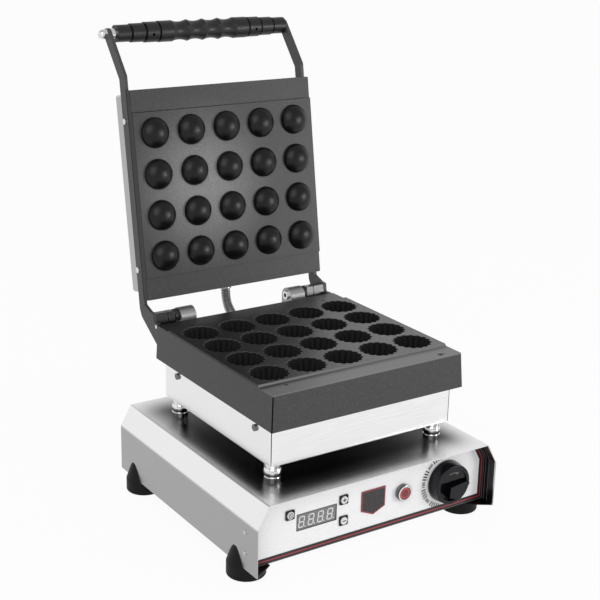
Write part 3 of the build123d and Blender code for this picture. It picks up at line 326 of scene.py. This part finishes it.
def cover_steel_and_shade():
    """The cover's sheet: bright slopes, with painted shade on the sides, on the bottom flanges and on the top
    by the casing.
    """
    material, tree, shader = new_material("cover_steel_and_shade", (0.8, 0.8, 0.8), 1.0, 0.22)
    grain, mixed = sheet_grain(tree, (0.03, 1, 1), (0.32, 1, 1))
    tree.links.new(span(tree, mixed, 0.35, 0.65, 0.22, 0.27), shader.inputs["Roughness"])
    tone = mix_colors(tree, span(tree, mixed, 0.3, 0.7), (0.82, 0.82, 0.82), (0.86, 0.86, 0.86))
    # Painted shade: the top goes nearly black round and under the casing.
    low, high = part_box("lower_casing")
    overlap = 8 * MM
    inside = product(
        tree,
        measure(tree, (1, 0, 0), low.x - 52 * MM, low.x + overlap),
        measure(tree, (-1, 0, 0), -high.x - 32 * MM, -high.x + overlap),
        measure(tree, (0, 1, 0), low.y - 42 * MM, low.y + overlap),
        measure(tree, (0, -1, 0), -high.y - 50 * MM, -high.y + overlap),
    )
    cover_low, cover_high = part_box("base_cover")
    upper = measure(tree, (0, 0, 1), cover_high.z - 1.5 * MM, cover_high.z - 0.4 * MM)
    tone = mix_colors(tree, product(tree, inside, upper), tone, (0.006, 0.006, 0.006))
    # Painted shade: the upright sides are darker below the slopes.
    lower = measure(tree, (0, 0, -1), -cover_high.z + 22.5 * MM, -cover_high.z + 26.5 * MM)
    for way in (-1, 1):
        side = measure(tree, (way, 0, 0), cover_high.x - 1.8 * MM, cover_high.x - 0.4 * MM)
        tone = mix_colors(tree, product(tree, side, lower), tone, (0.42, 0.42, 0.425))
    # Painted shade on the bottom flanges under the cover.
    flange_shade = measure(tree, (0, 0, -1), -cover_low.z - 1.8 * MM, -cover_low.z - 1.4 * MM)
    for way in (-1, 1):
        within = measure(tree, (way, 0, 0), -cover_high.x + 1.3 * MM, -cover_high.x + 1.6 * MM)
        flange_shade = product(tree, flange_shade, within)
    tone = mix_colors(tree, flange_shade, tone, (0.02, 0.02, 0.02))
    tree.links.new(tone, shader.inputs["Base Color"])
    roughen(tree, grain, 0.000008, 0.3)
    return material


def lens_red_highlight_and_shade():
    """The lamp's lens: a dull red middle, a painted highlight ring round it and a rim in painted shade."""
    low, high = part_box("lamp_lens")
    middle = (low + high) / 2
    material, tree, shader = new_material("lamp_red_highlight_and_shade", (0.4, 0.01, 0.015), 0.0, 0.12, Coat_Weight=0.5)
    highlight_ring = distance(tree, middle, 4.6 * MM, 5.2 * MM)
    rim_shade = distance(tree, middle, 6.3 * MM, 6.9 * MM)
    tone = mix_colors(tree, highlight_ring, (0.16, 0.012, 0.016), (0.46, 0.045, 0.05))
    tone = mix_colors(tree, rim_shade, tone, (0.1, 0.004, 0.006))
    tree.links.new(tone, shader.inputs["Base Color"])
    roughen(tree, noise(tree, 900, 2), 0.00002, 0.3)
    return material


def bezel_chrome_and_shade():
    """The lamp's bezel: a bright front ring with a painted shade line at its edge, and a side in painted
    shade.
    """
    low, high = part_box("lamp_bezel")
    middle = Vector(((low.x + high.x) / 2, low.y, (low.z + high.z) / 2))
    material, tree, shader = new_material("bezel_chrome_and_shade", (0.8, 0.8, 0.8), 1.0, 0.14)
    skin = noise(tree, 1200, 2)
    tone = mix_colors(tree, span(tree, skin, 0.3, 0.7), (0.72, 0.72, 0.72), (0.84, 0.84, 0.84))
    # Painted shade: a dark line round the ring's edge and a grey side.
    tone = mix_colors(tree, distance(tree, middle, 9.1 * MM, 9.5 * MM), tone, (0.05, 0.05, 0.05))
    side = measure(tree, (0, 1, 0), low.y + 1.6 * MM, low.y + 2.4 * MM)
    tone = mix_colors(tree, side, tone, (0.2, 0.2, 0.2))
    tree.links.new(tone, shader.inputs["Base Color"])
    roughen(tree, skin, 0.00002, 0.3)
    return material


stainless_x = brushed("stainless_across", 0.78, 0.24, (0.03, 1, 1))
# A lighter, smoother copy of the stainless sheet for the casing under the mould: a smoother finish and painted
# light.
lit_sheet = brushed("smooth_lit_sheet", 0.95, 0.17, (0.03, 1, 1))
stainless_y = brushed("stainless_along", 0.8, 0.24, (1, 0.03, 1))
# A darker copy of the stainless sheet for the lid's casing: painted shade.
shaded_sheet = brushed("shaded_sheet", 0.5, 0.24, (0.03, 1, 1))
bare_steel = brushed("bare_steel", 0.6, 0.3, (0.1, 1, 1))
chrome = plain("chrome", (0.86, 0.86, 0.86), 0.09, metallic=1.0)
dark_steel = cast("dark_steel", (0.045, 0.045, 0.046), (0.1, 0.1, 0.102), 0.36)[0]
cast_steel = plain("cast_steel", (0.4, 0.4, 0.4), 0.45, scale=900, depth=0.0008, metallic=1.0)
# A darker copy of the dark cast for the left hinge boss: painted shade.
shaded_cast = plain("shaded_cast", (0.05, 0.05, 0.05), 0.38, scale=900, depth=0.0004, metallic=1.0)
dark_cast = plain("dark_cast", (0.2, 0.2, 0.2), 0.38, scale=900, depth=0.0004, metallic=1.0)
conduit_steel = plain("conduit_steel", (0.55, 0.55, 0.55), 0.2, metallic=1.0)
conduit_groove_shade = plain("conduit_groove_shade", (0.015, 0.015, 0.015), 0.4)
white_paint = plain("white_paint", (0.95, 0.95, 0.96), 0.28, depth=0.00001)
rubber = plain("rubber", (0.007, 0.007, 0.007), 0.5, depth=0.0001, Specular_IOR_Level=0.16)
grip_plastic = plain("grip_plastic", (0.012, 0.012, 0.012), 0.36, depth=0.00006, Specular_IOR_Level=0.4)
gloss_black = plain("gloss_black", (0.004, 0.004, 0.006), 0.22, Specular_IOR_Level=0.3)
matte_black = plain("matte_black", (0.012, 0.012, 0.013), 0.45)
ink = plain("ink", (0.012, 0.012, 0.012), 0.5)
shadow_line_black = plain("shadow_line_black", (0.002, 0.002, 0.002), 0.8, Specular_IOR_Level=0.03)
red_ink = plain("red_ink", (0.36, 0.035, 0.04), 0.4)
white_ink = plain("white_ink", (0.8, 0.8, 0.8), 0.4)
grey_ink = plain("grey_ink", (0.16, 0.16, 0.16), 0.4)
edge_grey = plain("edge_grey", (0.06, 0.06, 0.06), 0.4)
white_plastic = plain("white_plastic", (0.8, 0.8, 0.8), 0.3)
window_plastic = plain("window_plastic", (0.21, 0.21, 0.215), 0.25)
badge_enamel = plain("badge_enamel", (0.035, 0.03, 0.032), 0.25)
insulation = plain("insulation", (0.6, 0.55, 0.45), 0.9, depth=0.0005)

DRESS = {
    "base_cover": cover_steel_and_shade(), "cover_rivets": bare_steel, "bottom_plate": stainless_y,
    "front_panel": white_paint, "panel_trim": matte_black, "rear_panel": stainless_x,
    "inlet_gland": matte_black, "terminal_block": white_plastic, "foot_screws": chrome,
    "lower_casing": lit_sheet, "casing_screws": dark_cast, "lower_mould_plate": mould_coat_light_and_shade(),
    "upper_mould_plate": lid_plate_coat_sheen_and_shade(), "upper_casing": shaded_sheet, "lower_heater": bare_steel,
    "upper_heater": bare_steel, "lower_insulation": insulation, "upper_insulation": insulation,
    "arm_screws": chrome, "stop_screws": chrome, "handle_rod": chrome, "handle_washer": chrome,
    "handle_grip": grip_plastic, "conduit": chrome, "lid_gland": conduit_steel,
    "base_gland": matte_black, "display_window": window_plastic, "timer_module": matte_black,
    "lamp_bezel": bezel_chrome_and_shade(), "lamp_lens": lens_red_highlight_and_shade(), "badge": badge_enamel,
    "thermostat_body": matte_black, "thermostat_shaft": chrome, "thermostat_knob": gloss_black,
}
KINDS = (
    ("foot_", rubber), ("spacer_post", chrome), ("hinge_bracket", cast_steel), ("hinge_bolt", chrome),
    ("hinge_spacer", matte_black), ("hinge_boss_left", shaded_cast), ("hinge_boss_right", dark_cast),
    ("side_arm", dark_steel), ("cap_nut", chrome),
)
for name, node in nodes.items():
    material = DRESS.get(name)
    if material is None:
        material = next((m for start, m in KINDS if name.startswith(start)), None)
    if material is None:
        material = gloss_black if name.endswith("_frame") else white_plastic
    node.data.materials.clear()
    node.data.materials.append(material)


# Piece helpers
def add_piece(name, mesh, material, body=None, smooth=False):
    """An object from a bmesh, in the row's frame, that rides on a body."""
    bmesh.ops.recalc_face_normals(mesh, faces=mesh.faces)
    data = bpy.data.meshes.new(name)
    mesh.to_mesh(data)
    mesh.free()
    for polygon in data.polygons:
        polygon.use_smooth = smooth
    data.materials.append(material)
    piece = bpy.data.objects.new(name, data)
    bpy.context.scene.collection.objects.link(piece)
    if body:
        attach(piece, body)
    return piece


def at_panel(x, z, proud):
    """A point before the front panel, all in mm."""
    return Vector((x * MM, panel_y - proud * MM, z * MM))


def raise_shapes(name, outlines, back, front, material, body="base"):
    """Flat shapes that stand before the panel between two distances. Outlines are (x, z) in mm."""
    mesh = bmesh.new()
    for outline in outlines:
        rims = [[mesh.verts.new(at_panel(x, z, proud)) for x, z in outline] for proud in (front, back)]
        mesh.faces.new(rims[0])
        for number in range(len(outline)):
            after = (number + 1) % len(outline)
            mesh.faces.new((rims[0][number], rims[0][after], rims[1][after], rims[1][number]))
    return add_piece(name, mesh, material, body)


def raise_band(name, outer, inner, back, front, material, body="base", closed=True):
    """A band between two outlines with as many corners."""
    steps = len(outer) if closed else len(outer) - 1
    outlines = []
    for number in range(steps):
        after = (number + 1) % len(outer)
        outlines.append((outer[number], outer[after], inner[after], inner[number]))
    return raise_shapes(name, outlines, back, front, material, body)


def arc(x, z, radius, start, end, steps):
    """Points on an arc in the panel's plane, in mm and degrees."""
    angles = [radians(start + (end - start) * step / steps) for step in range(steps + 1)]
    return [(x + radius * cos(angle), z + radius * sin(angle)) for angle in angles]


def turned(points, x, z, angle):
    """Points turned about the origin by an angle in degrees, then moved."""
    c, s = cos(radians(angle)), sin(radians(angle))
    return [(x + c * a - s * b, z + s * a + c * b) for a, b in points]


def write(name, words, x, z, size, material, proud=0.0, body="base", angle=0.0):
    """Plain lettering before the panel."""
    half_depth = 0.03
    data = bpy.data.curves.new(name, "FONT")
    data.body = words
    data.size = size * MM
    data.align_x = "CENTER"
    data.align_y = "CENTER"
    data.extrude = half_depth * MM
    data.offset = 0.12 * MM
    text = bpy.data.objects.new(name + "_text", data)
    bpy.context.scene.collection.objects.link(text)
    text.matrix_world = (
        Matrix.Translation(at_panel(x, z, proud + half_depth))
        @ Matrix.Rotation(radians(90), 4, "X")
        @ Matrix.Rotation(radians(angle), 4, "Z")
    )
    bpy.context.view_layer.update()
    shape = bpy.data.meshes.new_from_object(text)
    shape.transform(text.matrix_world)
    bpy.data.objects.remove(text)
    shape.materials.clear()
    shape.materials.append(material)
    piece = bpy.data.objects.new(name, shape)
    bpy.context.scene.collection.objects.link(piece)
    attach(piece, body)
    return piece


# The cover's inner section as seen from the front, in mm
COVER_CORNERS = (
    (-160.5, 17.5), (160.5, 17.5), (160.5, 72.0), (147.0, 96.5), (-147.0, 96.5), (-160.5, 72.0),
)


def inset_outline(depth, corners=COVER_CORNERS):
    """An anticlockwise outline drawn in by a depth, in mm."""
    lines = []
    for (x1, z1), (x2, z2) in zip(corners, corners[1:] + corners[:1]):
        length = hypot(x2 - x1, z2 - z1)
        across = (-(z2 - z1) / length, (x2 - x1) / length)
        lines.append((*across, across[0] * x1 + across[1] * z1 + depth))
    points = []
    for (a, b, c), (d, e, f) in zip(lines[-1:] + lines[:-1], lines):
        share = a * e - b * d
        points.append(((c * e - b * f) / share, (a * f - c * d) / share))
    return points


# Trim lines round the panel, and painted shade in the recess beside it
raise_band("trim_red", inset_outline(4.6), inset_outline(6.1), 0.3, 0.56, red_ink)
raise_band("trim_edge", inset_outline(1.8), inset_outline(2.3), 0.3, 0.54, grey_ink)


def line_recess(name, depth, front, back, material):
    """A strip along the inside of the cover's two sides, between two distances before the panel."""
    mesh = bmesh.new()
    outer = inset_outline(depth)
    inner = inset_outline(depth + 0.12)
    for way in (-1, 1):
        rings = []
        for points in (outer, inner):
            for proud in (back, front):
                rings.append([mesh.verts.new(at_panel(way * x, z, proud)) for x, z in points[1:4]])
        for first, second in ((0, 1), (1, 3), (3, 2), (2, 0)):
            for number in range(2):
                mesh.faces.new((
                    rings[first][number],
                    rings[first][number + 1],
                    rings[second][number + 1],
                    rings[second][number],
                ))
    return add_piece(name, mesh, material, "base")


# Painted shade: a dark strip lines the inside of the recess.
line_recess("recess_shade", 1.25, 17.6, 0.6, gloss_black)
line_recess("recess_line_back", 1.4, 3.6, 3.1, grey_ink)
line_recess("recess_line_front", 1.4, 9.0, 8.6, grey_ink)

# Thermostat dial: ticks, triangles and numbers round the knob's left half
DIAL_START, DIAL_STEP, DIAL_LAST = 94, 6, 28
DIAL_NUMBERS = ((7, "200"), (14, "150"), (21, "100"))
NUMBER_RADIUS = 31.0
knob_low, knob_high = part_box("thermostat_knob")
knob_x = (knob_low.x + knob_high.x) / 2 / MM
knob_z = (knob_low.z + knob_high.z) / 2 / MM
triangle = [(28.6, 0), (33.0, -2.1), (33.0, 2.1)]
tick = [(28.2, -0.75), (34.0, -0.75), (34.0, 0.75), (28.2, 0.75)]
ticks = []
for number in range(DIAL_LAST + 1):
    angle = DIAL_START + number * DIAL_STEP
    if number % DIAL_LAST == 0:
        ticks.append(turned(triangle, knob_x, knob_z, angle))
    elif min(abs(number - middle) for middle, words in DIAL_NUMBERS) > 1:
        ticks.append(turned(tick, knob_x, knob_z, angle))
raise_shapes("dial_ticks", ticks, -0.05, 0.12, ink)
for number, words in DIAL_NUMBERS:
    angle = DIAL_START + number * DIAL_STEP
    write(
        f"dial_number_{words}",
        words,
        knob_x + NUMBER_RADIUS * cos(radians(angle)),
        knob_z + NUMBER_RADIUS * sin(radians(angle)),
        5.2,
        ink,
        proud=0.1,
        angle=angle - 90,
    )

# Knob's turning mark: an arc with an arrowhead on its upper half
MARK_BACK, MARK_FRONT = 13.8, 14.02
outer = arc(knob_x, knob_z, 14.6, 70, 112, 12)
inner = arc(knob_x, knob_z, 13.8, 70, 112, 12)
raise_band("knob_mark", outer, inner, MARK_BACK, MARK_FRONT, grey_ink, "knob", closed=False)
head = turned([(12.6, 0.0), (15.8, 0.0), (14.2, -2.8)], knob_x, knob_z, 70)
raise_shapes("knob_mark_head", [head], MARK_BACK, MARK_FRONT, grey_ink, "knob")


# Timer display: four figures with all their bars lit, each with a point
def figure(x, z, width, height, bar):
    """The seven bars of one figure, as outlines in mm, from its lower left corner."""
    half = height / 2
    gap = 0.18
    shapes = []
    for level in (0, half, height):
        shapes.append([
            (gap, level),
            (gap + bar / 2, level + bar / 2),
            (width - gap - bar / 2, level + bar / 2),
            (width - gap, level),
            (width - gap - bar / 2, level - bar / 2),
            (gap + bar / 2, level - bar / 2),
        ])
    for side in (0, width):
        for base in (0, half):
            shapes.append([
                (side, base + gap),
                (side + bar / 2, base + gap + bar / 2),
                (side + bar / 2, base + half - gap - bar / 2),
                (side, base + half - gap),
                (side - bar / 2, base + half - gap - bar / 2),
                (side - bar / 2, base + gap + bar / 2),
            ])
    slant = tan(radians(7))
    return [[(x + a + slant * b, z + b) for a, b in shape] for shape in shapes]


FIGURES = 4
FIGURE_PITCH, FIGURE_WIDTH, FIGURE_HEIGHT, FIGURE_BAR = 12.1, 6.2, 12.0, 1.25
FIGURE_LEFT, FIGURE_FOOT = -97.2, 50.0
bars = []
for number in range(FIGURES):
    left = FIGURE_LEFT + number * FIGURE_PITCH
    bars += figure(left, FIGURE_FOOT, FIGURE_WIDTH, FIGURE_HEIGHT, FIGURE_BAR)
    bars.append([(left + 7.7, 49.4), (left + 9.0, 49.4), (left + 9.0, 50.7), (left + 7.7, 50.7)])
raise_shapes("display_figures", bars, -0.6, -0.44, white_ink)
window = [(-99.9, 46.6), (-48.6, 46.6), (-48.6, 65.9), (-99.9, 65.9)]
raise_band("display_edge", window, inset_outline(0.6, tuple(window)), -0.6, 0.12, edge_grey)


# Signs on the keys' caps
def box_shape(x, z, width, height):
    """A rectangle about a point, in mm."""
    return [
        (x - width / 2, z - height / 2),
        (x + width / 2, z - height / 2),
        (x + width / 2, z + height / 2),
        (x - width / 2, z + height / 2),
    ]


def key_place(name):
    """The middle of a key's cap, in mm."""
    low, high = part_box(name)
    return (low.x + high.x) / 2 / MM, (low.z + high.z) / 2 / MM


KEY_FRONT = 2.6
SIGN_BACK, SIGN_FRONT = KEY_FRONT - 0.2, KEY_FRONT + 0.05
x, z = key_place("plus_key")
cross = [
    (-2.4, -0.6), (-0.6, -0.6), (-0.6, -2.4), (0.6, -2.4), (0.6, -0.6), (2.4, -0.6),
    (2.4, 0.6), (0.6, 0.6), (0.6, 2.4), (-0.6, 2.4), (-0.6, 0.6), (-2.4, 0.6),
]
raise_shapes("plus_sign", [turned(cross, x, z, 0)], SIGN_BACK, SIGN_FRONT, ink, "plus_button")
x, z = key_place("minus_key")
raise_shapes("minus_sign", [box_shape(x, z, 4.8, 1.2)], SIGN_BACK, SIGN_FRONT, ink, "minus_button")
x, z = key_place("set_key")
raise_band(
    "set_ring",
    arc(x, z, 3.0, 0, 360, 28),
    arc(x, z, 2.2, 0, 360, 28),
    SIGN_BACK,
    SIGN_FRONT,
    ink,
    "set_button",
    closed=False,
)
hands = [box_shape(x, z + 0.8, 3.0, 0.6), box_shape(x, z - 0.8, 3.0, 0.6)]
raise_shapes("set_hands", hands, SIGN_BACK, SIGN_FRONT, ink, "set_button")

# Badge: a bare plate with a coloured edge
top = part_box("badge")[1].z / MM
badge = ((0.0, top - 30.5), (16.0, top - 23.5), (16.0, top), (-16.0, top), (-16.0, top - 23.5))
raise_band("badge_edge", inset_outline(0.0, badge), inset_outline(1.3, badge), 0.4, 1.08, red_ink)


# Painted shadow lines down the corners of the mould plate and of the casing below it
def corner_shadow_line(name, top, bottom, radius, start, end, material):
    """A thin strip round an upright corner. top and bottom are the middles of its arcs, in metres."""
    steps = 6
    mesh = bmesh.new()
    rows = []
    for place in (top, bottom):
        row = []
        for step in range(steps + 1):
            angle = radians(start + (end - start) * step / steps)
            row.append(mesh.verts.new(place + Vector((cos(angle), sin(angle), 0)) * radius))
        rows.append(row)
    for step in range(steps):
        mesh.faces.new((rows[0][step], rows[0][step + 1], rows[1][step + 1], rows[1][step]))
    return add_piece(name, mesh, material, "base", smooth=True)


corner_shadow_line(
    "mould_shadow_line",
    Vector((-123.9 * MM, mould_y - 124.4 * MM, pad_level - 4.0 * MM)),
    Vector((-126.2 * MM, mould_y - 126.7 * MM, skirt_level)),
    1.7 * MM,
    206,
    250,
    shadow_line_black,
)
casing_low, casing_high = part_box("lower_casing")
casing_corner = 3.0 * MM
shadow_line_places = (
    ("left", casing_low.x + casing_corner, 214, 232),
    ("right", casing_high.x - casing_corner, 284, 326),
)
for side, corner_x, start, end in shadow_line_places:
    corner_shadow_line(
        f"casing_shadow_line_{side}",
        Vector((corner_x, casing_low.y + casing_corner, skirt_level - 0.2 * MM)),
        Vector((corner_x, casing_low.y + casing_corner, casing_low.z)),
        casing_corner + 0.04 * MM,
        start,
        end,
        shadow_line_black,
    )


def bolt_ends():
    """The dark end of each hinge bolt, domed, in the middle of its head."""
    around = 20
    mesh = bmesh.new()
    for side in ("left", "right"):
        low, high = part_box(f"hinge_bolt_{side}")
        way = 1 if side == "left" else -1
        tip = high.x if side == "left" else low.x
        rows = []
        for radius, out in ((2.6, -0.3), (2.6, 0.25), (2.1, 0.55), (1.1, 0.7)):
            row = []
            for step in range(around):
                angle = tau * step / around
                y = hinge_at.y + radius * MM * cos(angle)
                z = hinge_at.z + radius * MM * sin(angle)
                row.append(mesh.verts.new((tip + way * out * MM, y, z)))
            rows.append(row)
        for first, second in zip(rows, rows[1:]):
            for step in range(around):
                after = (step + 1) % around
                mesh.faces.new((first[step], first[after], second[after], second[step]))
        mesh.faces.new(rows[-1])
    return add_piece("hinge_bolt_ends", mesh, ink, "base", smooth=True)


bolt_ends()


# Ribbed conduit: out of the base's gland, round one wide bend and up into the lid's gland
def conduit_route():
    """Points along the conduit's middle."""
    gland_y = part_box("base_gland")[1].y
    conduit_x = -5 * MM
    start = Vector((conduit_x, gland_y, pad_level - 20 * MM))
    lid_end = on_lid(conduit_x, 129.6 * MM - 2.6 * MM, 23.5 * MM)
    lid_way = (on_lid(0, 0, 0) - on_lid(0, 1, 0)).normalized()
    base_way = Vector((0, 1, 0))
    corner = start + base_way * ((lid_end - start).y - (lid_end - start).z * lid_way.y / lid_way.z)
    back = (start - corner).normalized()
    ahead = (lid_end - corner).normalized()
    half = back.angle(ahead) / 2
    reach = min((start - corner).length, (lid_end - corner).length) - 8 * MM
    radius = reach * tan(half)
    centre = corner + (back + ahead).normalized() * (radius / sin(half))
    first, last = corner + back * reach, corner + ahead * reach
    straight, bend = 10, 60
    points = [start.lerp(first, step / straight) for step in range(straight)]
    sweep = (first - centre).angle(last - centre)
    for step in range(bend + 1):
        turn = Matrix.Rotation(sweep * step / bend, 3, "X")
        points.append(centre + turn @ (first - centre))
    points += [last.lerp(lid_end, step / straight) for step in range(1, straight + 1)]
    return points


def build_conduit():
    """A tube whose rings swell and shrink to make its ribs, with painted shade in the grooves between them."""
    route = conduit_route()
    lengths = [0.0]
    for before, after in zip(route, route[1:]):
        lengths.append(lengths[-1] + (after - before).length)
    whole = lengths[-1]
    ribs, rings, around = 26, 10, 32
    tube_radius, rib_height = 4.9, 1.1
    mesh = bmesh.new()
    rows = []
    for step in range(ribs * rings + 1):
        along = whole * step / (ribs * rings)
        number = max(i for i in range(len(route) - 1) if lengths[i] <= along)
        share = (along - lengths[number]) / (lengths[number + 1] - lengths[number])
        place = route[number].lerp(route[number + 1], share)
        way = (route[number + 1] - route[number]).normalized()
        across = Vector((1, 0, 0))
        up = way.cross(across)
        swell = (0.5 - 0.5 * cos(tau * step / rings)) ** 0.6
        radius = (tube_radius + rib_height * swell) * MM
        row = []
        for turn in range(around):
            angle = tau * turn / around
            row.append(mesh.verts.new(place + (across * cos(angle) + up * sin(angle)) * radius))
        rows.append(row)
    for step, (low, high) in enumerate(zip(rows, rows[1:])):
        for turn in range(around):
            after = (turn + 1) % around
            face = mesh.faces.new((low[turn], low[after], high[after], high[turn]))
            # Painted shade: the faces in each groove take the dark material.
            face.material_index = 1 if step % rings in (0, 1, 8, 9) else 0
    piece = add_piece("ribbed_conduit", mesh, conduit_steel, smooth=True)
    piece.data.materials.append(conduit_groove_shade)
    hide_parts("conduit")
    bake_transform(piece)


build_conduit()


# Stage
def light_world():
    """A pale studio: white before the camera and in metal, plain grey light on the rest."""
    world = bpy.data.worlds.new("world")
    bpy.context.scene.world = world
    world.use_nodes = True
    tree = world.node_tree
    place = tree.nodes.new("ShaderNodeTexCoord")
    split = tree.nodes.new("ShaderNodeSeparateXYZ")
    tree.links.new(place.outputs["Generated"], split.inputs["Vector"])
    depth = span(tree, split.outputs["Y"], -0.6, 0.1, 0.55, 1.0)
    roof = span(tree, split.outputs["Z"], 0.35, 0.85, 1.0, 0.35)
    mirror = product(tree, depth, roof)
    path = tree.nodes.new("ShaderNodeLightPath")
    seen = combine(tree, "MAXIMUM", path.outputs["Is Camera Ray"], path.outputs["Is Transmission Ray"])
    glossy = product(tree, path.outputs["Is Glossy Ray"], mirror)
    strength = combine(tree, "MAXIMUM", combine(tree, "MAXIMUM", seen, glossy), WORLD_LEVEL)
    background = tree.nodes["Background"]
    background.inputs["Color"].default_value = (1, 1, 1, 1)
    tree.links.new(strength, background.inputs["Strength"])


def lay_floor():
    """A white floor that keeps a soft shadow."""
    bpy.ops.mesh.primitive_plane_add(size=40)
    floor = bpy.context.object
    floor.name = "floor"
    material, tree, shader = new_material("floor", (0.86, 0.86, 0.86), 0.0, 0.9)
    glow = tree.nodes.new("ShaderNodeEmission")
    glow.inputs["Color"].default_value = (1, 1, 1, 1)
    mix = tree.nodes.new("ShaderNodeMixShader")
    path = tree.nodes.new("ShaderNodeLightPath")
    seen = product(tree, path.outputs["Is Camera Ray"], 0.94)
    mirrored = product(tree, path.outputs["Is Glossy Ray"], 0.6)
    tree.links.new(combine(tree, "MAXIMUM", seen, mirrored), mix.inputs["Fac"])
    tree.links.new(shader.outputs["BSDF"], mix.inputs[1])
    tree.links.new(glow.outputs["Emission"], mix.inputs[2])
    tree.links.new(mix.outputs["Shader"], tree.nodes["Material Output"].inputs["Surface"])
    floor.data.materials.append(material)


def lamp(name, spot, target, size, power):
    """A soft rectangular lamp that faces a target."""
    data = bpy.data.lights.new(name, "AREA")
    data.shape = "RECTANGLE"
    data.size, data.size_y = size
    data.energy = power
    light = bpy.data.objects.new(name, data)
    bpy.context.scene.collection.objects.link(light)
    light.location = spot
    light.rotation_euler = (Vector(spot) - Vector(target)).to_track_quat("Z", "Y").to_euler()


bpy.context.scene.view_settings.view_transform = "Standard"
light_world()
lay_floor()
place_camera()
lamp("key", (-1.2, -1.6, 1.6), (0, 0, 0.25), (1.8, 1.8), 20)
lamp("glow", (1.48, -1.74, 0.44), (0, 0.15, 0.36), (0.6, 0.5), 13)
